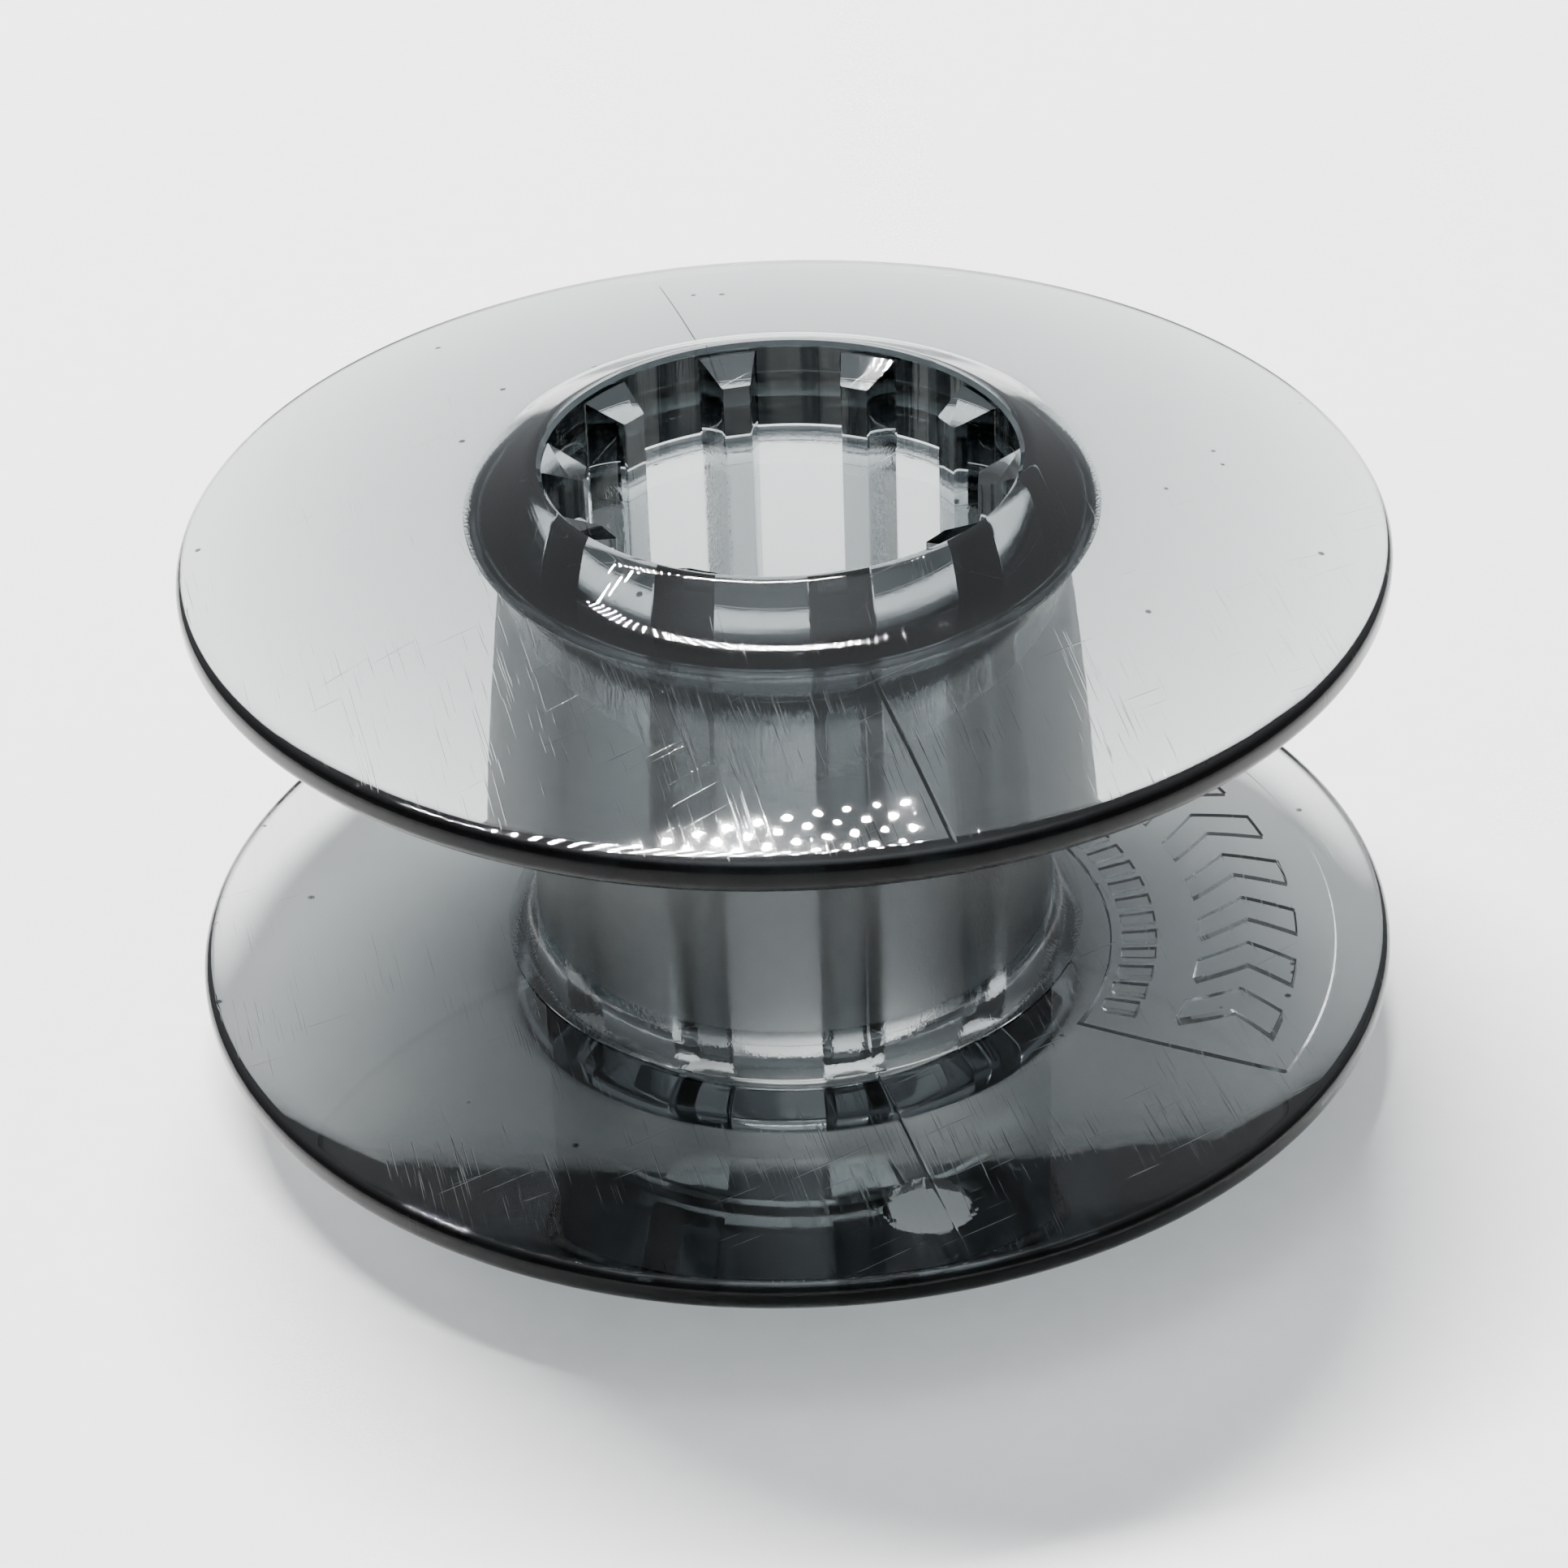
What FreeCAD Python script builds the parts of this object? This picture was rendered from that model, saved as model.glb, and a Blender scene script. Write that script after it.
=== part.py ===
"""Sewing-machine bobbin: two domed flanges on a ribbed hub barrel, all of clear smoke-grey plastic.

Origin: the bobbin's axis at its lower hub end. +Z runs along the axis, up to the other hub end. Millimetres.
Angles are degrees about +Z, counted from +X. Each flange is drawn from the bobbin's middle outwards.
"""

import os

import FreeCAD
import Part

# Heights, each over the whole bobbin
HUB_HEIGHT = 11.2  # from one hub end to the other
RIM_SPAN = 8.28  # from the outside of one flange's rim to the outside of the other's

# Flanges
UPPER_RADIUS = 10.2
LOWER_RADIUS = 10.5
RIM_THICKNESS = 0.5
RIM_ROUND = 0.2  # rounding of both edges of a rim
DOME_RADIUS = 42.0  # of the outer faces; the inner faces are flat

# Hub ends, raised above the domes
SHOULDER_FOOT_RADIUS = 5.35  # where the shoulder's slope would cut the dome
SHOULDER_FOOT_ROUND = 0.5
LIP_RADIUS = 4.2  # outside of the hub's flat end face
LIP_ROUND = 0.05

# Barrel
BARREL_RADIUS = 4.55
BARREL_FOOT_ROUND = 0.55  # between the barrel and each flange
BARREL_FOOT_EDGE = 0.03  # height of the thin edge that ends the rounding

# Bore with its drive ribs
BORE_RADIUS = 4.0
BORE_EDGE_BEVEL = 0.07
RIB_COUNT = 10
RIB_PHASE = 30.5
RIB_TIP_RADIUS = 3.3
RIB_TIP_WIDTH = 0.5
RIB_ROOT_WIDTH = 1.0
RIB_END_INSET = 0.15  # from the hub's end face down to the rib's end, at the bore wall
RIB_END_SLOPE = 0.3  # how much lower the rib's end is at its tip
RIB_ROOT_SINK = 0.2  # how far a rib runs into the wall, so that the two fuse

# Marking panel, let into the lower flange's outer face
PANEL_START = -31.0
PANEL_SWEEP = 72.0
PANEL_INNER_RADIUS = 5.6
PANEL_OUTER_RADIUS = 9.55
PANEL_DEPTH = 0.12

# Generic marks that stand up from the panel's floor: a row of chevrons, and a row of small ticks inside it
MARKS_START = -25.0
CHEVRON_COUNT = 6
CHEVRON_PITCH = 10.0
CHEVRON_WIDTH = 4.5
CHEVRON_LEAD = 4.0  # how far a chevron's point runs ahead of its ends, as an angle
CHEVRON_INNER_RADIUS = 7.15
CHEVRON_OUTER_RADIUS = 8.87
TICK_COUNT = 12
TICK_PITCH = 5.0
TICK_WIDTH = 2.6
TICK_INNER_RADIUS = 5.8
TICK_OUTER_RADIUS = 6.4

# Ejector pin's mark, a flat-floored round recess in the lower flange's outer face
EJECTOR_ANGLE = -76.0
EJECTOR_CENTRE_RADIUS = 8.26
EJECTOR_RADIUS = 0.72
EJECTOR_DEPTH = 0.02  # at the recess's outermost point, where it is shallowest

# Worked out from the sizes above
MIDDLE = HUB_HEIGHT / 2
HUB_END = HUB_HEIGHT / 2  # heights counted from the middle start here
RIM_TOP = RIM_SPAN / 2
INNER_FACE = RIM_TOP - RIM_THICKNESS
AXIS = FreeCAD.Vector(0, 0, 1)
CENTRE = FreeCAD.Vector(0, 0, 0)
EDGE_MATCH = 0.01  # how closely an edge has to lie on the circle that it is looked up by


def point(radius, height):
    return FreeCAD.Vector(radius, 0, height)


def polar(radius, angle):
    """The point at a radius and an angle about the axis, at the bobbin's middle."""
    return FreeCAD.Rotation(AXIS, angle).multVec(point(radius, 0))


def ring(outline):
    """Solid of revolution about the axis from a closed outline of edges in the XZ plane."""
    face = Part.Face(Part.Wire(outline))
    return face.revolve(CENTRE, AXIS, 360)


def lines(points):
    return [Part.makeLine(start, end) for start, end in zip(points, points[1:])]


def dome_height(rim_radius, radius):
    """Height above the middle of the dome that ends at a rim, at a radius."""
    centre = RIM_TOP - (DOME_RADIUS**2 - rim_radius**2) ** 0.5
    return centre + (DOME_RADIUS**2 - radius**2) ** 0.5


def circular_edges(shape, radius, height):
    """The shape's circles about the axis at a radius and a height."""
    found = []
    for edge in shape.Edges:
        curve = edge.Curve
        if not isinstance(curve, Part.Circle):
            continue
        centre = curve.Center
        on_axis = abs(centre.x) + abs(centre.y) < Part.Precision.confusion()
        if on_axis and abs(curve.Radius - radius) + abs(centre.z - height) < EDGE_MATCH:
            found.append(edge)
    return found


def dome(rim_radius):
    """Disc, flat inside and domed outside, with rounded rim edges. It carries the hub's raised shoulder."""
    foot = point(SHOULDER_FOOT_RADIUS, dome_height(rim_radius, SHOULDER_FOOT_RADIUS))
    rim = point(rim_radius, RIM_TOP)
    half_way = (SHOULDER_FOOT_RADIUS + rim_radius) / 2
    arc = Part.Arc(foot, point(half_way, dome_height(rim_radius, half_way)), rim).toShape()
    inside = lines([rim, point(rim_radius, INNER_FACE), point(0, INNER_FACE), point(0, HUB_END)])
    shoulder = lines([point(0, HUB_END), point(LIP_RADIUS, HUB_END), foot])
    disc = ring([arc] + inside + shoulder)
    disc = disc.makeFillet(SHOULDER_FOOT_ROUND, circular_edges(disc, foot.x, foot.z))
    disc = disc.makeFillet(LIP_ROUND, circular_edges(disc, LIP_RADIUS, HUB_END))
    rim_edges = circular_edges(disc, rim_radius, RIM_TOP) + circular_edges(disc, rim_radius, INNER_FACE)
    return disc.makeFillet(RIM_ROUND, rim_edges)


def bore(bottom, top):
    """What the hub's bore takes away between two heights: a cylinder, wider at the hub's end faces."""
    hole = Part.makeCylinder(BORE_RADIUS, top - bottom, point(0, bottom))
    wide = BORE_RADIUS + BORE_EDGE_BEVEL
    for end in (HUB_END, -HUB_END):
        if bottom <= end <= top:
            inwards = FreeCAD.Vector(0, 0, -end)
            start = FreeCAD.Vector(0, 0, end)
            hole = hole.fuse(Part.makeCone(wide, BORE_RADIUS, BORE_EDGE_BEVEL, start, inwards))
    return hole


def rib():
    """One drive rib along the whole bore: narrower at its tip, its two ends sloping down to the tip."""
    root = (BORE_RADIUS**2 - (RIB_ROOT_WIDTH / 2) ** 2) ** 0.5
    widening = (RIB_ROOT_WIDTH - RIB_TIP_WIDTH) / 2 / (root - RIB_TIP_RADIUS)
    sunk = root + RIB_ROOT_SINK
    sunk_half = RIB_ROOT_WIDTH / 2 + widening * RIB_ROOT_SINK
    tip_half = RIB_TIP_WIDTH / 2
    corners = [(RIB_TIP_RADIUS, tip_half), (sunk, sunk_half), (sunk, -sunk_half)]
    corners += [(RIB_TIP_RADIUS, -tip_half), corners[0]]
    section = Part.Face(Part.Wire(lines([FreeCAD.Vector(x, y, -HUB_END) for x, y in corners])))
    bar = section.extrude(FreeCAD.Vector(0, 0, HUB_HEIGHT))
    slope = RIB_END_SLOPE / (BORE_RADIUS - RIB_TIP_RADIUS)
    root_end = HUB_END - RIB_END_INSET + slope * (sunk - BORE_RADIUS)
    tip_end = HUB_END - RIB_END_INSET - RIB_END_SLOPE
    profile = [
        point(RIB_TIP_RADIUS, tip_end),
        point(sunk, root_end),
        point(sunk, -root_end),
        point(RIB_TIP_RADIUS, -tip_end),
        point(RIB_TIP_RADIUS, tip_end),
    ]
    side = Part.Face(Part.Wire(lines(profile)))
    side.translate(FreeCAD.Vector(0, -RIB_ROOT_WIDTH, 0))
    return bar.common(side.extrude(FreeCAD.Vector(0, 2 * RIB_ROOT_WIDTH, 0)))


def ribs(bottom, top):
    """The stretch of all the drive ribs between two heights."""
    single = rib()
    turned = []
    for number in range(RIB_COUNT):
        copy = single.copy()
        copy.rotate(CENTRE, AXIS, RIB_PHASE + number * 360 / RIB_COUNT)
        turned.append(copy)
    stretch = Part.makeCylinder(BARREL_RADIUS, top - bottom, point(0, bottom))
    return Part.makeCompound(turned).common(stretch)


def with_bore(body, bottom, top):
    """Bores a body between two heights and adds its stretch of the drive ribs, as one solid."""
    walls = body.cut(bore(bottom, top))
    return walls.fuse(ribs(bottom, top).Solids).removeSplitter().Solids[0]


def flange(rim_radius):
    """Upper flange of a rim radius, counted from the middle."""
    return with_bore(dome(rim_radius), INNER_FACE, HUB_END)


def hub_barrel():
    """Tube between the flanges' inner faces, flared at both ends, with the drive ribs inside."""
    foot = BARREL_RADIUS + BARREL_FOOT_ROUND
    flare = INNER_FACE - BARREL_FOOT_EDGE
    start = flare - BARREL_FOOT_ROUND
    tangent = BARREL_FOOT_ROUND * 0.5**0.5
    middle = point(foot - tangent, start + tangent)
    upper = Part.Arc(point(BARREL_RADIUS, start), middle, point(foot, flare)).toShape()
    lower_middle = point(middle.x, -middle.z)
    lower = Part.Arc(point(foot, -flare), lower_middle, point(BARREL_RADIUS, -start)).toShape()
    above = lines([point(foot, flare), point(foot, INNER_FACE), point(0, INNER_FACE), point(0, -INNER_FACE)])
    below = lines([point(0, -INNER_FACE), point(foot, -INNER_FACE), point(foot, -flare)])
    wall = lines([point(BARREL_RADIUS, -start), point(BARREL_RADIUS, start)])
    tube = ring([upper] + above + below + [lower] + wall)
    return with_bore(tube, -INNER_FACE, INNER_FACE)


def sector(inner, outer, start, sweep):
    """Tall block over a part of a ring, seen from above, for cutting the domed face through."""
    block = Part.makeCylinder(outer, HUB_HEIGHT, CENTRE, AXIS, sweep)
    block = block.cut(Part.makeCylinder(inner, HUB_HEIGHT))
    block.rotate(CENTRE, AXIS, start)
    return block


def skin(rim_radius, depth):
    """The layer of a flange's dome down to a depth, as a full shell around the axis."""
    top = [(0, 0), (rim_radius, 0), (rim_radius, -depth), (0, -depth)]
    corners = [point(radius, dome_height(rim_radius, radius) + step) for radius, step in top]
    half = rim_radius / 2
    crest = Part.Arc(corners[0], point(half, dome_height(rim_radius, half)), corners[1]).toShape()
    floor = Part.Arc(corners[2], point(half, dome_height(rim_radius, half) - depth), corners[3]).toShape()
    return ring([crest, Part.makeLine(corners[1], corners[2]), floor, Part.makeLine(corners[3], corners[0])])


def chevron(start):
    """Tall block over one chevron, seen from above. Its point leads towards larger angles."""
    middle = (CHEVRON_INNER_RADIUS + CHEVRON_OUTER_RADIUS) / 2
    end = start + CHEVRON_WIDTH
    corners = [
        polar(CHEVRON_INNER_RADIUS, start),
        polar(CHEVRON_INNER_RADIUS, end),
        polar(middle, end + CHEVRON_LEAD),
        polar(CHEVRON_OUTER_RADIUS, end),
        polar(CHEVRON_OUTER_RADIUS, start),
        polar(middle, start + CHEVRON_LEAD),
        polar(CHEVRON_INNER_RADIUS, start),
    ]
    return Part.Face(Part.Wire(lines(corners))).extrude(point(0, HUB_HEIGHT))


def panel_marks():
    """Tall blocks over every mark on the panel, seen from above."""
    marks = []
    for number in range(CHEVRON_COUNT):
        marks.append(chevron(MARKS_START + number * CHEVRON_PITCH))
    for number in range(TICK_COUNT):
        start = MARKS_START + number * TICK_PITCH
        marks.append(sector(TICK_INNER_RADIUS, TICK_OUTER_RADIUS, start, TICK_WIDTH))
    return marks


def marked(disc, rim_radius):
    """Lets the marking panel and the ejector pin's mark into a flange's domed face."""
    panel = sector(PANEL_INNER_RADIUS, PANEL_OUTER_RADIUS, PANEL_START, PANEL_SWEEP)
    disc = disc.cut(skin(rim_radius, PANEL_DEPTH).common(panel.cut(panel_marks())))
    pin_floor = dome_height(rim_radius, EJECTOR_CENTRE_RADIUS + EJECTOR_RADIUS) - EJECTOR_DEPTH
    pin = Part.makeCylinder(EJECTOR_RADIUS, HUB_HEIGHT)
    pin.translate(polar(EJECTOR_CENTRE_RADIUS, EJECTOR_ANGLE) + point(0, pin_floor))
    return disc.cut(pin).Solids[0]


def turned_over(body):
    """The mirror image below the middle, whose angles about the axis stay the same."""
    return body.mirror(CENTRE, AXIS)


def write(name, solid):
    solid = solid.copy()
    solid.translate(FreeCAD.Vector(0, 0, MIDDLE))
    solid.exportStep("parts/%s.step" % name)
    box = solid.BoundBox
    print(name, solid.isValid(), len(solid.Solids), round(solid.Volume, 3), box)


os.makedirs("parts", exist_ok=True)
write("upper_flange", flange(UPPER_RADIUS))
write("hub_barrel", hub_barrel())
write("lower_flange", turned_over(marked(flange(LOWER_RADIUS), LOWER_RADIUS)))
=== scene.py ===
"""A clear smoke-grey sewing-machine bobbin, standing on its lower hub end on a pale table.

Two domed flanges on a ribbed hub barrel. Lengths are in millimetres until a mesh or a material is made, and
heights are counted from the bobbin's middle, as the two halves mirror each other there. Angles are degrees
about the axis, from +X.
"""

import math

import bpy
import numpy as np
from mathutils import Euler, Matrix, Vector


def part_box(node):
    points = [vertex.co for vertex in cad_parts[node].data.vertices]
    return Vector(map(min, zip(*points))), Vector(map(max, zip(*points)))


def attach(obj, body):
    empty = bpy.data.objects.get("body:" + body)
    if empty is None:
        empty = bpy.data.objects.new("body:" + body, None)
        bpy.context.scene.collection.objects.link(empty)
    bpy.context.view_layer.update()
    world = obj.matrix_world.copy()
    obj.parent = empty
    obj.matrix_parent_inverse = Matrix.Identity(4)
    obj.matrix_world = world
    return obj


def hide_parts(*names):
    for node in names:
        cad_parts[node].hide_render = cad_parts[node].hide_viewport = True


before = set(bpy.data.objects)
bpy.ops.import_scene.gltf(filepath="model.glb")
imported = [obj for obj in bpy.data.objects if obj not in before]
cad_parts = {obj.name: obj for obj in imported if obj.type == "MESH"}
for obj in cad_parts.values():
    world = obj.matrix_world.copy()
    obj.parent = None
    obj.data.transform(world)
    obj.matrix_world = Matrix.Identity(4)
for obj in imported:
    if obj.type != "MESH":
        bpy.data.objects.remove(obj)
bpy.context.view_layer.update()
MM = 0.001


# ---------------------------------------------------------------------------------------------------------
# Camera: a long lens, 77 mm from the bobbin's middle. It looks down on the bobbin from the front, and is
# rolled very slightly.
# ---------------------------------------------------------------------------------------------------------
hub_height = (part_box("upper_flange")[1].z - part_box("lower_flange")[0].z) / MM
MIDDLE = hub_height / 2
CAMERA_PLACE = Vector((-0.13, -65.12, 41.36 + MIDDLE))
CAMERA_TILT = 33.03
CAMERA_ROLL = -2.02
LENS = 102.13
NEAREST, FARTHEST = 1.0, 10000.0

camera_data = bpy.data.cameras.new("camera")
camera_data.lens = LENS
camera_data.clip_start = NEAREST * MM
camera_data.clip_end = FARTHEST * MM
camera = bpy.data.objects.new("camera", camera_data)
bpy.context.scene.collection.objects.link(camera)
look_down = Euler((math.radians(90 - CAMERA_TILT), 0, 0)).to_matrix()
roll = Matrix.Rotation(math.radians(CAMERA_ROLL), 3, "Z")
camera.matrix_world = Matrix.Translation(CAMERA_PLACE * MM) @ (look_down @ roll).to_4x4()
bpy.context.scene.camera = camera


# ---------------------------------------------------------------------------------------------------------
# Table: a sheet of matt white card, large enough to fill the view. The room round it is an even grey that
# grows brighter overhead, so soft light falls on the card from all sides and most of all from above.
# ---------------------------------------------------------------------------------------------------------
TABLE_HALF = 1500.0
CARD_COLOUR = "f8f8f6"
FIBRE_COLOUR = "f0f0ee"
CARD_ROUGHNESS = 0.9
FIBRE_SIZE = 0.6
FIBRE_HEIGHT = 0.01
ROOM_COLOUR = "b4b8bc"
ROOM_GLOW, OVERHEAD_GLOW = 1.25, 3.6
OVERHEAD_STARTS, OVERHEAD_FULL = 0.88, 0.99  # upward share of the direction looked in


def linear(code):
    """An sRGB hex colour as linear red, green, blue and 1. Up to 0.04045 a value is divided by 12.92, and
    above that it has 0.055 added, is divided by 1.055 and is raised to the power of 2.4."""
    srgb = np.array([int(code[i : i + 2], 16) for i in (0, 2, 4)]) / 255
    low, high = srgb / 12.92, ((srgb + 0.055) / 1.055) ** 2.4
    return (*np.where(srgb <= 0.04045, low, high), 1.0)


def add_node(tree, kind, settings=None, **inputs):
    """Adds a node. settings are its own properties. An input is a value, or a socket to link from, and is
    named with underscores for spaces, or by i and its number."""
    node = tree.nodes.new(kind)
    for name, value in (settings or {}).items():
        setattr(node, name, value)
    for name, value in inputs.items():
        numbered = name[0] == "i" and name[1:].isdigit()
        socket = node.inputs[int(name[1:]) if numbered else name.replace("_", " ")]
        if isinstance(value, bpy.types.NodeSocket):
            tree.links.new(value, socket)
        else:
            socket.default_value = value
    return node


def card():
    """Matt white card: nearly all its light is scattered, with a faint fibre mottle."""
    material = bpy.data.materials.new("matt_white_card")
    material.use_nodes = True
    tree = material.node_tree
    shader = tree.nodes["Principled BSDF"]
    shader.inputs["Roughness"].default_value = CARD_ROUGHNESS
    place = add_node(tree, "ShaderNodeTexCoord").outputs["Object"]
    fineness = {"Scale": 1 / (FIBRE_SIZE * MM), "Detail": 3.0}
    fibres = add_node(tree, "ShaderNodeTexNoise", Vector=place, **fineness).outputs["Fac"]
    colours = {"i6": linear(CARD_COLOUR), "i7": linear(FIBRE_COLOUR)}
    tone = add_node(tree, "ShaderNodeMix", {"data_type": "RGBA"}, i0=fibres, **colours)
    nap = add_node(tree, "ShaderNodeBump", Strength=1.0, Distance=FIBRE_HEIGHT * MM, Height=fibres)
    tree.links.new(tone.outputs[2], shader.inputs["Base Color"])
    tree.links.new(nap.outputs[0], shader.inputs["Normal"])
    return material


table_mesh = bpy.data.meshes.new("table")
side = TABLE_HALF * MM
corners = [(-side, -side, 0), (side, -side, 0), (side, side, 0), (-side, side, 0)]
table_mesh.from_pydata(corners, [], [(0, 1, 2, 3)])
table_mesh.materials.append(card())
table = bpy.data.objects.new("table", table_mesh)
bpy.context.scene.collection.objects.link(table)

world = bpy.data.worlds.new("studio")
world.use_nodes = True
room = world.node_tree
direction = add_node(room, "ShaderNodeTexCoord").outputs["Generated"]
steepness = add_node(room, "ShaderNodeSeparateXYZ", Vector=direction).outputs["Z"]
heights = {"From_Min": OVERHEAD_STARTS, "From_Max": OVERHEAD_FULL}
glows = {"To_Min": ROOM_GLOW, "To_Max": OVERHEAD_GLOW}
glow = add_node(room, "ShaderNodeMapRange", Value=steepness, **heights, **glows).outputs["Result"]
room.nodes["Background"].inputs["Color"].default_value = linear(ROOM_COLOUR)
room.links.new(glow, room.nodes["Background"].inputs["Strength"])
bpy.context.scene.world = world


# ---------------------------------------------------------------------------------------------------------
# Lamp: a long panel of small round lights, behind the bobbin and above it. It shines in the polished
# plastic as a band of dots along the upper flange's front edge.
# ---------------------------------------------------------------------------------------------------------
LAMP_LEFT = Vector((-128, 99, 258))
LAMP_RIGHT = Vector((33, 141, 267))
LAMP_COLUMNS, LAMP_ROWS = 23, 6
LAMP_PITCH = 4.7
LAMP_DOT = 0.95
LAMP_SIDES = 8
LAMP_STRENGTH = 3000.0


def lamp_panel():
    """Rows of octagons between two points, every other row half a step along, in the plane that faces the
    bobbin. A corner is LAMP_DOT from its octagon's centre, cos(turn) of it along and sin(turn) of it up."""
    along = (LAMP_RIGHT - LAMP_LEFT).normalized()
    middle = (LAMP_RIGHT + LAMP_LEFT) / 2
    up = middle.cross(along).normalized()
    column, row = np.meshgrid(np.arange(LAMP_COLUMNS), np.arange(LAMP_ROWS))
    column = (column + row % 2 / 2) / LAMP_COLUMNS
    row = row - (LAMP_ROWS - 1) / 2
    centres = np.array(LAMP_LEFT) + column[..., None] * np.array(LAMP_RIGHT - LAMP_LEFT)
    centres = centres + row[..., None] * LAMP_PITCH * np.array(up)
    turn = np.radians(np.arange(LAMP_SIDES) * 360 / LAMP_SIDES)
    disc = LAMP_DOT * (np.cos(turn)[:, None] * np.array(along) + np.sin(turn)[:, None] * np.array(up))
    places = (centres.reshape(-1, 1, 3) + disc).reshape(-1, 3) * MM
    mesh = bpy.data.meshes.new("lamp_panel")
    mesh.from_pydata(places, [], np.arange(len(places)).reshape(-1, LAMP_SIDES))
    material = bpy.data.materials.new("lamp_light")
    material.use_nodes = True
    material.node_tree.nodes.clear()
    light = add_node(material.node_tree, "ShaderNodeEmission", Strength=LAMP_STRENGTH)
    add_node(material.node_tree, "ShaderNodeOutputMaterial", Surface=light.outputs[0])
    mesh.materials.append(material)
    panel = bpy.data.objects.new("lamp_panel", mesh)
    bpy.context.scene.collection.objects.link(panel)
    return panel


lamp_panel()


# ---------------------------------------------------------------------------------------------------------
# Hub barrel: the tube that the thread is wound on. Clear smoke-grey styrene plastic, moulded in one shot
# with ten drive ribs along its bore, flared where it meets the flanges, and finely ground outside.
# ---------------------------------------------------------------------------------------------------------
INNER_FACE = (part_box("hub_barrel")[1].z / MM) - MIDDLE
JOINT_GAP = 0.01  # hairline between the barrel's ends and the flanges, too thin to see
BARREL_RADIUS = 4.55
BARREL_FOOT_ROUND = 0.55
BARREL_FOOT_EDGE = 0.03  # straight edge beyond each flare
FOOT_RADIUS = BARREL_RADIUS + BARREL_FOOT_ROUND
BARREL_ROWS, FOOT_ROWS = 15, 9
BORE_RADIUS = 4.0
RIB_COUNT = 10
RIB_PITCH = 360 / RIB_COUNT
RIB_PHASE = 30.5
RIB_TIP_RADIUS = 3.3
RIB_TIP_HALF = 0.25
RIB_ROOT_HALF = 0.5
RIB_ROUND = 0.07
LEAST_SLANT = 0.02  # keeps the flank's distance finite on a ray that runs along it
SEAM_ANGLES = (-75.5, 103.0)
SEAM_HALF = 0.03
SEAM_HEIGHT = 0.015
SEAM_REACH = 0.5  # radians from a seam, within which its plane is on the seam's own side of the axis
LEAST_TURN = 0.04  # columns that are no farther apart than this are made one
SHARP_EDGE = 32


def soft_min(a, b, width):
    """The smaller of two surfaces, less a quarter of the width times nearness squared. Nearness falls evenly
    from 1 where the surfaces cross to 0 where they are a width apart."""
    near = np.maximum(width - np.abs(a - b), 0) / width
    return np.minimum(a, b) - near**2 * width / 4


def soft_max(a, b, width):
    """The larger of two surfaces, blended in the same way."""
    return -soft_min(-a, -b, width)


def bore_radius(angles):
    """Distance from the axis to the bore at each angle: along a ray from the axis, the rib's flat tip or its
    straight flank, whichever is farther out, and no farther than the bore's round wall. The corners between
    them are rounded."""
    turn = np.radians(np.abs((angles - RIB_PHASE + RIB_PITCH / 2) % RIB_PITCH - RIB_PITCH / 2))
    tip = RIB_TIP_RADIUS / np.cos(turn)
    root = math.sqrt(BORE_RADIUS**2 - RIB_ROOT_HALF**2)
    run, rise = root - RIB_TIP_RADIUS, RIB_ROOT_HALF - RIB_TIP_HALF
    slant = rise * np.cos(turn) - run * np.sin(turn)
    flank = (rise * RIB_TIP_RADIUS - run * RIB_TIP_HALF) / np.maximum(slant, LEAST_SLANT)
    return soft_min(soft_max(tip, flank, RIB_ROUND), np.full_like(turn, BORE_RADIUS), RIB_ROUND)


def round_the_axis(extra=()):
    """Angles of the columns that every surface is drawn on, closer together at the ribs' corners and the
    seams."""
    half = np.array([0, 2, 3.6, 4.0, 4.3, 4.6, 5.2, 6.0, 6.5, 6.9, 7.2, 7.5, 8.0, 9.5, 11.5, 13.5, 15.7, 18])
    one = np.concatenate([-half[:0:-1], half])[1:]
    ribs = (RIB_PHASE + one[None, :] + RIB_PITCH * np.arange(RIB_COUNT)[:, None]).ravel()
    seam = np.array([-0.8, -0.5, -0.33, -0.22, -0.11, 0, 0.11, 0.22, 0.33, 0.5, 0.8])
    seams = (np.array(SEAM_ANGLES)[:, None] + seam[None, :]).ravel()
    angles = np.sort(np.concatenate([ribs, seams, np.asarray(extra, float).ravel()]) % 360)
    return angles[np.diff(angles, append=angles[0] + 360) > LEAST_TURN]


def seam_ridge(angles, radius):
    """Height of the fine ridge that the mould's parting line leaves: a triangle across each seam's plane, of
    full height at the plane and none at SEAM_HALF from it."""
    height = np.zeros(np.broadcast(angles, radius).shape)
    for seam in SEAM_ANGLES:
        off = np.radians((angles - seam + 180) % 360 - 180)
        near = np.abs(off) < SEAM_REACH
        height += near * SEAM_HEIGHT * np.maximum(1 - np.abs(np.sin(off)) * radius / SEAM_HALF, 0)
    return height


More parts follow.
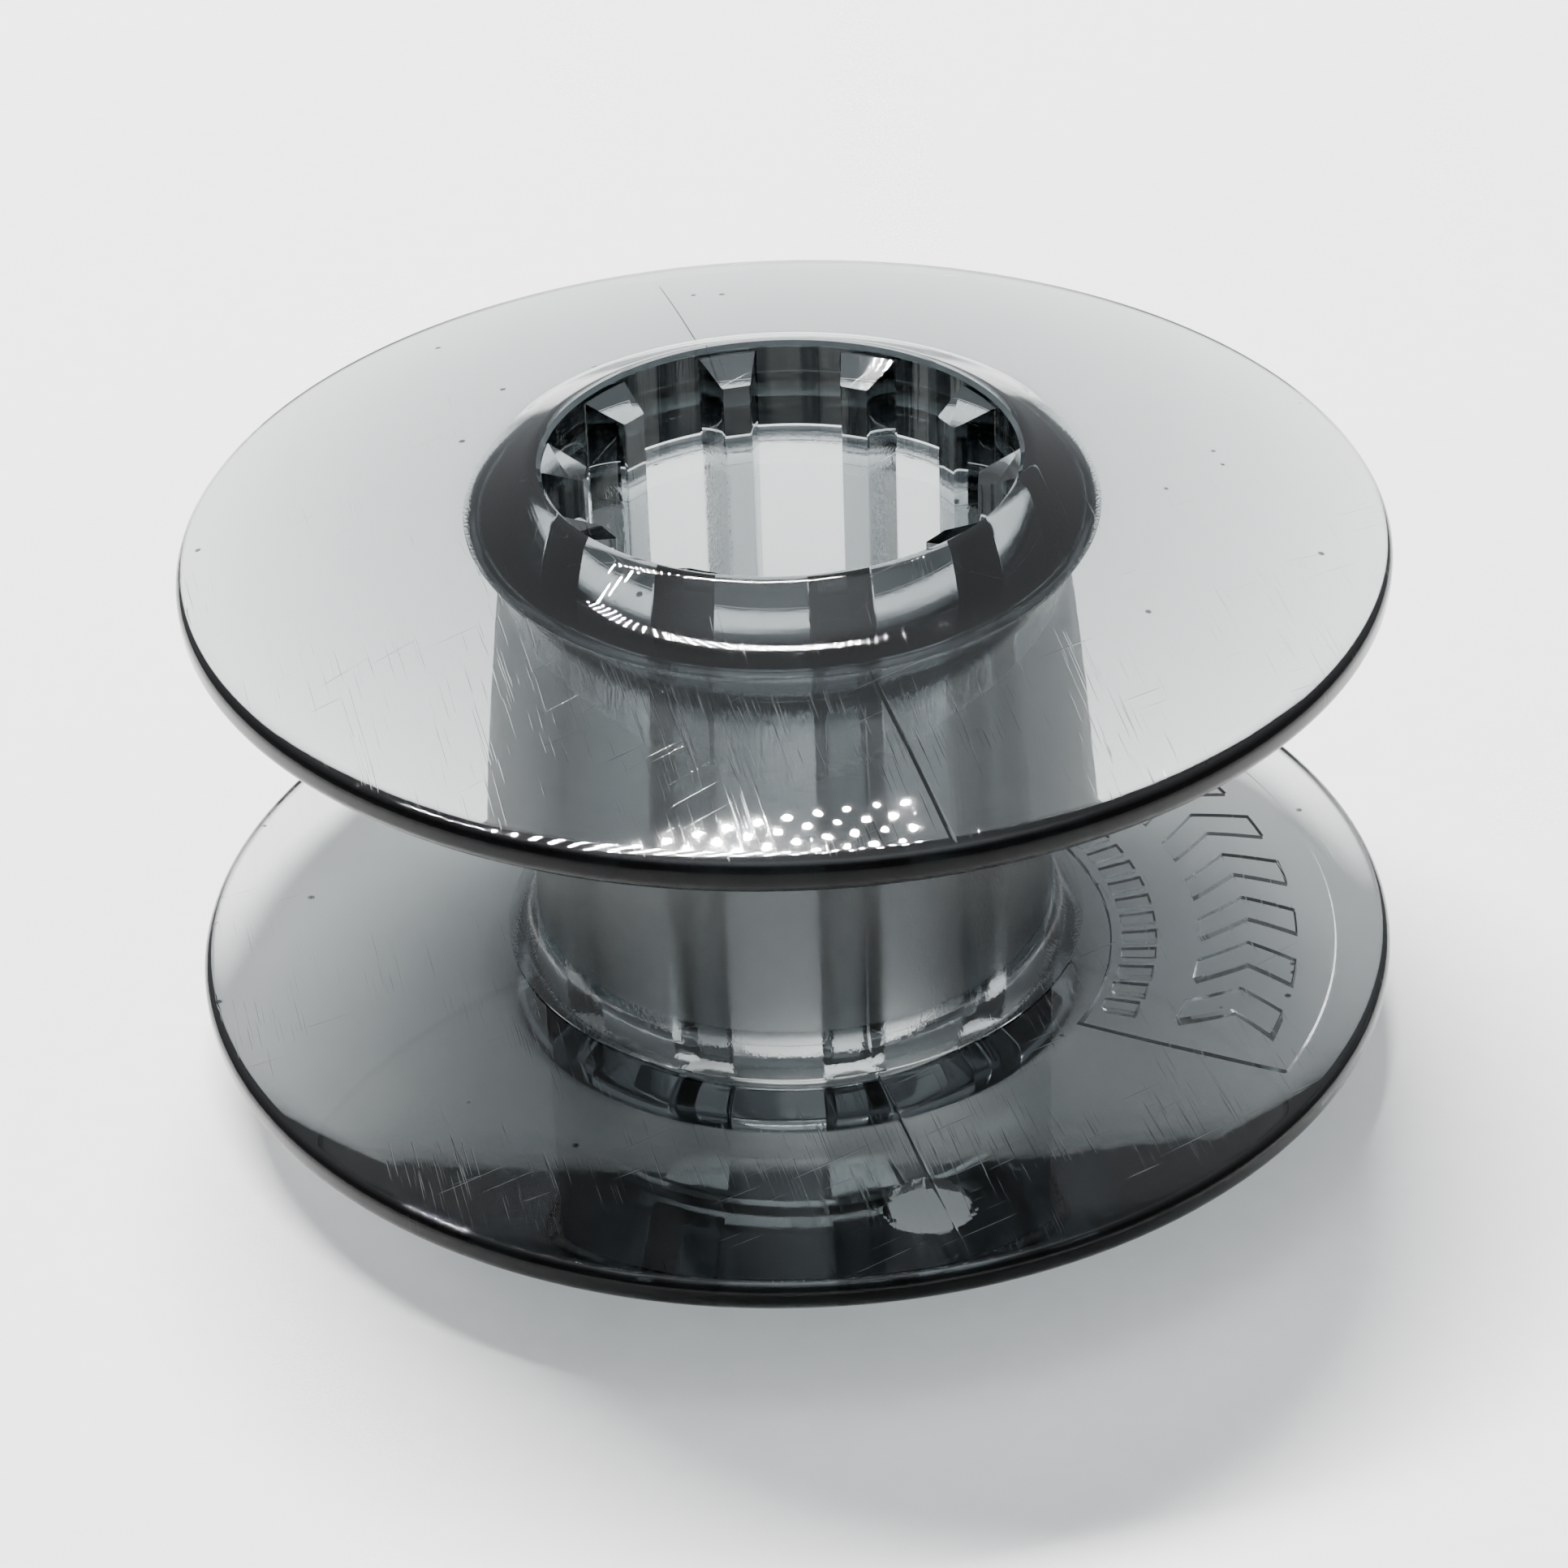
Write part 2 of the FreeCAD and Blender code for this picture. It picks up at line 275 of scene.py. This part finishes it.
def closed_skin(name, angles, radius, height, joint_rows, upward=1):
    """Skin over a grid that joins up both ways: rows follow the profile, columns go round the axis. A point's
    place is its radius turned through its angle, at its height above the bobbin's middle. joint_rows are the
    rows of faces that lie on the neighbouring piece. upward is -1 for a piece drawn upside down."""
    turn = np.radians(np.broadcast_to(angles, radius.shape))
    places = np.stack([radius * np.cos(turn), radius * np.sin(turn), height * upward + MIDDLE], -1) * MM
    rows, columns = radius.shape
    index = np.arange(rows * columns).reshape(rows, columns)
    beside, after = np.roll(index, -1, 1), np.roll(index, -1, 0)
    corners = [index, beside, np.roll(beside, -1, 0), after]
    faces = np.stack(corners if upward < 0 else corners[::-1], -1).reshape(-1, 4)
    mesh = bpy.data.meshes.new(name)
    mesh.from_pydata(places.reshape(-1, 3), [], faces)
    mesh.shade_smooth()
    mesh.set_sharp_from_angle(angle=math.radians(SHARP_EDGE))
    joint = np.zeros((rows, columns), np.float32)
    joint[joint_rows] = 1
    mesh.attributes.new("joint", "FLOAT", "FACE").data.foreach_set("value", joint.ravel())
    piece = bpy.data.objects.new(name, mesh)
    bpy.context.scene.collection.objects.link(piece)
    return piece


STYRENE_IOR = 1.58
SMOKE_COLOUR = "a2aaad"  # the smoke tint takes a little more of the red than of the blue
POLISHED, HANDLED = 0.01, 0.04  # roughness of the least and the most handled places
HAZE_STARTS, HAZE_FULL = 0.35, 0.7  # the handling's values between which it dulls the plastic
HANDLING_SIZE = (2.5, 2.5, 2.5)
RUBBED_STARTS, RUBBED_FULL = 0.45, 0.55  # the handling's values between which scratches set in
# Hairline scratches: size along each axis, turn, and the noise's values where they start and are full. They
# are drawn wider than real ones, so that they show.
LONG_SCRATCHES = ((0.03, 1.6, 1.6), 12, 0.70, 0.80)
CROSSING_SCRATCHES = ((0.05, 2.4, 2.4), -57, 0.80, 0.86)
SCRATCH_ROUGHNESS = 0.08
SCRATCH_DEPTH = 0.0014
SPECK_SPACING = (1.3, 1.3, 1.3)
SPECK_CORE, SPECK_EDGE = 0.035, 0.055  # shares of the spacing
SPECK_SHADE = 0.03
# Painted shade along each flange's rim: its colour and its reflections darken from the first distance in to
# the second, down to the share below.
PAINTED_RIM_SHADE_STARTS, PAINTED_RIM_SHADE_FULL = 0.14, 0.05  # distances in from a flange's rim
PAINTED_RIM_SHADE = 0.12
GROUND_INSIDE, GROUND_OUTSIDE = 4.2, 4.4  # radii between which the grinding sets in
GROUND_FADES, GROUND_ENDS = 0.7, 0.5  # distances from a flange between which it stops


def smoke_styrene(name, grain, grain_height, smoke_density, ground=0.0, rim_radius=None):
    """Clear smoke-grey styrene plastic from a polished mould: glossy, and darker the longer light runs inside
    it. Patches of handling roughen and scratch it, and it has dark specks in it. grain is the size of its
    surface's fine waves along each axis, and grain_height their height. ground is the roughness that grinding
    adds outside the barrel. A flange's rim_radius gives it painted shade near its rim, where the colour and
    the reflections are darkened so that the rim looks dark."""
    material = bpy.data.materials.new(name)
    material.use_nodes = True
    tree = material.node_tree
    tree.nodes.clear()
    times = {"operation": "MULTIPLY"}
    place = add_node(tree, "ShaderNodeTexCoord").outputs["Object"]
    parts = add_node(tree, "ShaderNodeSeparateXYZ", Vector=place).outputs
    flat = add_node(tree, "ShaderNodeCombineXYZ", X=parts["X"], Y=parts["Y"]).outputs[0]
    reach = add_node(tree, "ShaderNodeVectorMath", {"operation": "LENGTH"}, i0=flat).outputs["Value"]

    def waves(size, detail, turn=0):
        """Noise of a given size along each axis, turned about the vertical."""
        turned = {"Rotation": (0, 0, math.radians(turn)), "Scale": Vector(size) * MM}
        sized = add_node(tree, "ShaderNodeMapping", {"vector_type": "TEXTURE"}, Vector=place, **turned)
        noise = add_node(tree, "ShaderNodeTexNoise", Vector=sized.outputs[0], Scale=1.0, Detail=detail)
        return noise.outputs["Fac"]

    handling = waves(HANDLING_SIZE, 3.0)
    limits = {"From_Min": HAZE_STARTS, "From_Max": HAZE_FULL, "To_Min": POLISHED, "To_Max": HANDLED}
    haze = add_node(tree, "ShaderNodeMapRange", Value=handling, **limits).outputs["Result"]
    if ground:
        above = add_node(tree, "ShaderNodeMath", {"operation": "SUBTRACT"}, i0=parts["Z"], i1=MIDDLE * MM)
        level = add_node(tree, "ShaderNodeMath", {"operation": "ABSOLUTE"}, i0=above.outputs[0]).outputs[0]
        limits = {"From_Min": GROUND_INSIDE * MM, "From_Max": GROUND_OUTSIDE * MM}
        outside = add_node(tree, "ShaderNodeMapRange", Value=reach, **limits).outputs["Result"]
        limits = {"From_Min": (INNER_FACE - GROUND_FADES) * MM, "From_Max": (INNER_FACE - GROUND_ENDS) * MM}
        inward = add_node(tree, "ShaderNodeMapRange", Value=level, To_Min=1.0, To_Max=0.0, **limits)
        wall = add_node(tree, "ShaderNodeMath", times, i0=outside, i1=inward.outputs["Result"]).outputs[0]
        grinding = add_node(tree, "ShaderNodeMath", times, i0=wall, i1=ground).outputs[0]
        haze = add_node(tree, "ShaderNodeMath", i0=grinding, i1=haze).outputs[0]

    hairlines = []
    for size, turn, starts, full in (LONG_SCRATCHES, CROSSING_SCRATCHES):
        limits = {"From_Min": starts, "From_Max": full}
        hairline = add_node(tree, "ShaderNodeMapRange", Value=waves(size, 0.0, turn), **limits)
        hairlines.append(hairline.outputs["Result"])
    both = {"i0": hairlines[0], "i1": hairlines[1]}
    either = add_node(tree, "ShaderNodeMath", {"operation": "MAXIMUM"}, **both).outputs[0]
    limits = {"From_Min": RUBBED_STARTS, "From_Max": RUBBED_FULL}
    rubbed = add_node(tree, "ShaderNodeMapRange", Value=handling, **limits).outputs["Result"]
    scratches = add_node(tree, "ShaderNodeMath", times, i0=either, i1=rubbed).outputs[0]
    roughness = {"i0": scratches, "i1": SCRATCH_ROUGHNESS, "i2": haze}
    rough = add_node(tree, "ShaderNodeMath", {"operation": "MULTIPLY_ADD"}, **roughness).outputs[0]

    spacing = tuple(Vector(SPECK_SPACING) * MM)
    cell = add_node(tree, "ShaderNodeVectorMath", {"operation": "DIVIDE"}, i0=place, i1=spacing).outputs[0]
    distance = add_node(tree, "ShaderNodeTexVoronoi", Vector=cell, Scale=1.0).outputs["Distance"]
    limits = {"From_Min": SPECK_CORE, "From_Max": SPECK_EDGE, "To_Min": SPECK_SHADE, "To_Max": 1.0}
    specks_and_painted_rim_shade = add_node(tree, "ShaderNodeMapRange", Value=distance, **limits).outputs["Result"]

    grained = {"Distance": grain_height * MM, "Height": waves(grain, 2.0)}
    fine = add_node(tree, "ShaderNodeBump", Strength=1.0, **grained).outputs[0]
    grooved = {"Distance": SCRATCH_DEPTH * MM, "Height": scratches, "Normal": fine}
    bumps = add_node(tree, "ShaderNodeBump", {"invert": True}, Strength=1.0, **grooved).outputs[0]
    shader = add_node(tree, "ShaderNodeBsdfPrincipled", Roughness=rough, Normal=bumps, IOR=STYRENE_IOR)
    shader.inputs["Transmission Weight"].default_value = 1.0
    # Painted shade: near the rim the colour and the reflections' tint are darkened, so that the rim looks
    # dark.
    if rim_radius:
        limits = {"From_Min": (rim_radius - PAINTED_RIM_SHADE_STARTS) * MM, "From_Max": (rim_radius - PAINTED_RIM_SHADE_FULL) * MM}
        painted_rim_shade = add_node(tree, "ShaderNodeMapRange", Value=reach, To_Min=1.0, To_Max=PAINTED_RIM_SHADE, **limits)
        painted_rim_shade = painted_rim_shade.outputs["Result"]
        specks_and_painted_rim_shade = add_node(tree, "ShaderNodeMath", times, i0=specks_and_painted_rim_shade, i1=painted_rim_shade).outputs[0]
        painted_rim_reflection_shade = add_node(tree, "ShaderNodeCombineColor", Red=painted_rim_shade, Green=painted_rim_shade, Blue=painted_rim_shade).outputs[0]
        tree.links.new(painted_rim_reflection_shade, shader.inputs["Specular Tint"])
    tint = add_node(tree, "ShaderNodeCombineColor", Red=specks_and_painted_rim_shade, Green=specks_and_painted_rim_shade, Blue=specks_and_painted_rim_shade).outputs[0]
    tree.links.new(tint, shader.inputs["Base Color"])

    joint = add_node(tree, "ShaderNodeAttribute", {"attribute_name": "joint"}).outputs["Fac"]
    through = add_node(tree, "ShaderNodeBsdfTransparent").outputs[0]
    surface = add_node(tree, "ShaderNodeMixShader", i0=joint, i1=shader.outputs[0], i2=through).outputs[0]
    smoke = add_node(tree, "ShaderNodeVolumeAbsorption", Color=linear(SMOKE_COLOUR), Density=smoke_density)
    add_node(tree, "ShaderNodeOutputMaterial", Surface=surface, Volume=smoke.outputs[0])
    return material


def finished(piece, plastic, node):
    """Gives a piece the plastic, and puts it in its CAD node's place."""
    piece.data.materials.append(plastic)
    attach(piece, "root")
    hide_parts(node)


def barrel():
    """Tube with a ribbed bore: up the bore, out along the top end, down the outside and its two flares, and
    back. Each flare is a quarter of a circle."""
    angles = round_the_axis()
    around = (1, angles.size)
    top = INNER_FACE - JOINT_GAP
    turn = np.radians(np.linspace(0, 90, FOOT_ROWS))
    foot_radius = FOOT_RADIUS - BARREL_FOOT_ROUND * np.cos(turn)
    foot_height = top - BARREL_FOOT_EDGE - BARREL_FOOT_ROUND * (1 - np.sin(turn))
    climb = np.linspace(-1, 1, BARREL_ROWS)
    outer_radius = np.concatenate([[FOOT_RADIUS], foot_radius[::-1], foot_radius, [FOOT_RADIUS]])
    outer_height = np.concatenate([[top], foot_height[::-1], -foot_height, [-top]])
    inside = np.tile(bore_radius(angles), (BARREL_ROWS, 1))
    radius = np.concatenate([inside, np.tile(outer_radius[:, None], around)])
    height = np.concatenate([np.tile(climb[:, None] * top, around), np.tile(outer_height[:, None], around)])
    wall = np.abs(radius - BARREL_RADIUS) < BARREL_FOOT_ROUND / 2
    wall[:BARREL_ROWS] = False
    radius = radius + wall * seam_ridge(angles, radius)
    ends = [BARREL_ROWS - 1, radius.shape[0] - 1]
    return closed_skin("hub_barrel_tube", angles, radius, height, ends)


GRIT_SIZE, GRIT_HEIGHT = (0.06, 0.06, 0.09), 0.006  # coarser than real grit, so that it shows
GRINDING = 0.4
BARREL_SMOKE = 2000.0
look = (GRIT_SIZE, GRIT_HEIGHT, BARREL_SMOKE)
finely_ground = smoke_styrene("smoke_styrene_fine_ground", *look, ground=GRINDING)
finished(barrel(), finely_ground, "hub_barrel")


# ---------------------------------------------------------------------------------------------------------
# Flanges: discs of the same styrene, moulded with the barrel. They are flat inside and slightly domed
# outside, with a raised lip round the bore. The lower one is a little larger and carries the marking panel
# and the round mark of an ejector pin on its outer face.
# ---------------------------------------------------------------------------------------------------------
HUB_END = MIDDLE
RIM_THICKNESS = 0.5
RIM_TOP = INNER_FACE + RIM_THICKNESS
RIM_ROUND = 0.2
DOME_RADIUS = 42.0
SHOULDER_FOOT_RADIUS = 5.35
LIP_RADIUS = 4.18
LIP_BLEND = 0.05
FOOT_BLEND = 0.1
BORE_EDGE_BEVEL = 0.07
RIB_END_INSET = 0.15
RIB_END_SLOPE = 0.3
BORE_ROWS, SHOULDER_ROWS, DOME_ROWS, ARC_ROWS, FACE_ROWS = 8, 45, 22, 7, 12
SHOULDER_ROWS_END = 6.2  # radius up to which the rows are close together


def dome_height(rim_radius, radius):
    """Height of the sphere that passes through the rim's outer edge: a point's height above the sphere's
    centre is the root of the sphere's radius squared less the point's radius squared."""
    return RIM_TOP - math.sqrt(DOME_RADIUS**2 - rim_radius**2) + np.sqrt(DOME_RADIUS**2 - radius**2)


def outer_height(rim_radius, radius):
    """Height of a flange's outer face: the dome, or the shoulder's cone where that is higher, but no higher
    than the lip's top."""
    foot = dome_height(rim_radius, SHOULDER_FOOT_RADIUS)
    fall = (HUB_END - foot) / (SHOULDER_FOOT_RADIUS - LIP_RADIUS)
    cone = HUB_END - fall * (radius - LIP_RADIUS)
    raised = soft_max(dome_height(rim_radius, radius), cone, FOOT_BLEND)
    return soft_min(raised, np.full_like(radius, HUB_END), LIP_BLEND)


def rim_profile(rim_radius, tangent, slope):
    """Radii and heights round a rim: an arc from the dome's slope out to the rim, and an arc from there in to
    the flat inner face. A point is RIM_ROUND from its arc's centre, cos(turn) of it out and sin(turn) up."""
    upper = np.linspace(math.pi / 2 - slope, 0, ARC_ROWS)[1:]
    lower = np.linspace(0, -math.pi / 2, ARC_ROWS)
    radii = rim_radius - RIM_ROUND + RIM_ROUND * np.cos(np.concatenate([upper, lower]))
    upper_centre = dome_height(rim_radius, tangent) - RIM_ROUND * math.cos(slope)
    lower_centre = INNER_FACE + RIM_ROUND
    heights = [upper_centre + RIM_ROUND * np.sin(upper), lower_centre + RIM_ROUND * np.sin(lower)]
    return radii, np.concatenate(heights)


def flange(name, rim_radius, upward, extra_angles=(), extra_radii=(), cut=None):
    """Closed profile turned round the axis: up the ribbed bore, over the ribs' sloping ends, the lip, the
    shoulder and the dome, round the rim, and back along the flat inner face. cut(radius, angle, height) gives
    the depth taken off the dome, and the angle that each of its points is moved to."""
    angles = round_the_axis(extra_angles)
    across = np.ones((1, angles.size))
    inside = bore_radius(angles)
    rib_share = (BORE_RADIUS - inside) / (BORE_RADIUS - RIB_TIP_RADIUS)
    rib_end = HUB_END - RIB_END_INSET - RIB_END_SLOPE * rib_share
    climb = np.linspace(0, 1, BORE_ROWS)[:, None]
    bore_height = INNER_FACE + climb * (rib_end[None, :] - INNER_FACE)
    edge = BORE_RADIUS + BORE_EDGE_BEVEL
    mouth_radius = np.array([BORE_RADIUS, BORE_RADIUS, edge])
    mouth_height = np.array([HUB_END - RIB_END_INSET, HUB_END - BORE_EDGE_BEVEL, HUB_END])
    slope = math.asin(rim_radius / DOME_RADIUS)
    tangent = rim_radius - RIM_ROUND * (1 - math.sin(slope))
    shoulder = np.linspace(edge, SHOULDER_ROWS_END, SHOULDER_ROWS)[1:]
    dome = np.linspace(SHOULDER_ROWS_END, tangent, DOME_ROWS)[1:]
    radii = np.concatenate([shoulder, dome, extra_radii])
    radii = np.unique(radii[radii <= tangent])
    dome_radius, columns = np.broadcast_arrays(radii[:, None], angles[None, :])
    height = outer_height(rim_radius, dome_radius)
    if cut is not None:
        depth, columns = cut(dome_radius, columns, height)
        height = height - depth
    rim_radii, rim_heights = rim_profile(rim_radius, tangent, slope)
    face_radii = np.linspace(rim_radius - RIM_ROUND, FOOT_RADIUS, FACE_ROWS)[1:]
    face_height = INNER_FACE - seam_ridge(angles[None, :], face_radii[:, None])
    parts = [
        (inside * np.ones((BORE_ROWS, 1)), bore_height),
        (mouth_radius[:, None] * across, mouth_height[:, None] * across),
        (dome_radius, height),
        (rim_radii[:, None] * across, rim_heights[:, None] * across),
        (face_radii[:, None] * across, face_height),
    ]
    radius, height = (np.concatenate(rows) for rows in zip(*parts))
    grid = np.tile(angles, (radius.shape[0], 1))
    first = BORE_ROWS + mouth_radius.size
    grid[first : first + radii.size] = columns
    return closed_skin(name, grid, radius, height, [radius.shape[0] - 1], upward)


LOWER_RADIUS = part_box("lower_flange")[1].x / MM
UPPER_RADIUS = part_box("upper_flange")[1].x / MM
PANEL_START, PANEL_SWEEP = -31.0, 72.0
PANEL_INNER_RADIUS, PANEL_OUTER_RADIUS = 5.6, 9.55
PANEL_DEPTH = 0.12
MARKS_AFTER_START, MARKS_SWEEP = 6.0, 60.0
CHEVRON_COUNT, CHEVRON_PITCH, CHEVRON_WIDTH = 6, 10.0, 4.5
CHEVRON_STARTS = MARKS_AFTER_START + CHEVRON_PITCH * np.arange(CHEVRON_COUNT)
CHEVRON_LEAD = 4.0
CHEVRON_RADII = (7.15, 8.87)
CHEVRON_MIDDLE = sum(CHEVRON_RADII) / 2
TICK_COUNT, TICK_PITCH, TICK_WIDTH = 12, 5.0, 2.6
TICK_STARTS = MARKS_AFTER_START + TICK_PITCH * np.arange(TICK_COUNT)
TICK_RADII = (5.8, 6.4)
EDGE_SLOPE = 0.03  # run of the cut edges' walls along a radius
EDGE_TURN = 0.24  # the same as an angle
EJECTOR_ANGLE = -76.0
EJECTOR_CENTRE_RADIUS = 8.26
EJECTOR_RADIUS = 0.72
EJECTOR_DEPTH = 0.02
EJECTOR_WALL = 0.06
EJECTOR_COLUMNS = EJECTOR_ANGLE + np.arange(-5.3, 5.35, 0.35)
EJECTOR_ROWS = EJECTOR_CENTRE_RADIUS + np.arange(-0.78, 0.79, 0.05)


def between(value, low, high, slope):
    """1 between low and high and 0 outside them, changing evenly over a slope centred on each."""
    return np.clip((value - low) / slope + 0.5, 0, 1) * np.clip((high - value) / slope + 0.5, 0, 1)


def marks_cut(radius, angle, height):
    """Depth taken off the lower flange's dome, and each point's angle: the panel, less its standing chevrons
    and ticks, plus the ejector pin's level floor. The panel's columns lean over by the chevrons' lead, which
    falls off evenly from the middle of their band to its edges."""
    along = (angle - PANEL_START) % 360
    panel = between(radius, PANEL_INNER_RADIUS, PANEL_OUTER_RADIUS, EDGE_SLOPE)
    panel = panel * between(along, 0, PANEL_SWEEP, EDGE_TURN)
    chevrons = (CHEVRON_STARTS, CHEVRON_WIDTH, CHEVRON_RADII)
    ticks = (TICK_STARTS, TICK_WIDTH, TICK_RADII)
    standing = np.zeros_like(radius)
    for starts, width, radii in (chevrons, ticks):
        for start in starts:
            standing += between(radius, *radii, EDGE_SLOPE) * between(along, start, start + width, EDGE_TURN)
    half = (CHEVRON_RADII[1] - CHEVRON_RADII[0]) / 2
    lead = CHEVRON_LEAD * np.clip(1 - np.abs(radius - CHEVRON_MIDDLE) / half, 0, 1)
    ends = [0, MARKS_AFTER_START, MARKS_AFTER_START + MARKS_SWEEP, PANEL_SWEEP]
    bent = angle + lead * np.interp(along, ends, [0, 1, 1, 0], right=0)
    turn, pin_turn = np.radians(angle), math.radians(EJECTOR_ANGLE)
    aside = radius * np.cos(turn) - EJECTOR_CENTRE_RADIUS * math.cos(pin_turn)
    forward = radius * np.sin(turn) - EJECTOR_CENTRE_RADIUS * math.sin(pin_turn)
    pin = np.clip((EJECTOR_RADIUS - np.hypot(aside, forward)) / EJECTOR_WALL + 0.5, 0, 1)
    floor = dome_height(LOWER_RADIUS, EJECTOR_CENTRE_RADIUS + EJECTOR_RADIUS) - EJECTOR_DEPTH
    return PANEL_DEPTH * (panel - standing) + pin * np.maximum(height - floor, 0), bent


def both_sides(edges, slope):
    """Each edge's two sides, half a slope away."""
    return np.concatenate([np.asarray(edges) - slope / 2, np.asarray(edges) + slope / 2])


mark_ends = [CHEVRON_STARTS, CHEVRON_STARTS + CHEVRON_WIDTH, TICK_STARTS, TICK_STARTS + TICK_WIDTH]
turns = np.concatenate([[0, PANEL_SWEEP], *mark_ends])
rings = [PANEL_INNER_RADIUS, PANEL_OUTER_RADIUS, *CHEVRON_RADII, CHEVRON_MIDDLE, *TICK_RADII]
mark_angles = np.concatenate([PANEL_START + both_sides(turns, EDGE_TURN), EJECTOR_COLUMNS])
mark_radii = np.concatenate([both_sides(rings, EDGE_SLOPE), EJECTOR_ROWS])
WAVE_SIZE, WAVE_HEIGHT = (0.6, 0.6, 0.6), 0.0006
LOWER_SMOKE, UPPER_SMOKE = 680.0, 950.0
look = (WAVE_SIZE, WAVE_HEIGHT, LOWER_SMOKE)
lower = flange("lower_flange_disc", LOWER_RADIUS, -1, mark_angles, mark_radii, marks_cut)
finished(lower, smoke_styrene("smoke_styrene_polished", *look, rim_radius=LOWER_RADIUS), "lower_flange")
look = (WAVE_SIZE, WAVE_HEIGHT, UPPER_SMOKE)
upper = flange("upper_flange_disc", UPPER_RADIUS, 1)
finished(upper, smoke_styrene("smoke_styrene_dense", *look, rim_radius=UPPER_RADIUS), "upper_flange")
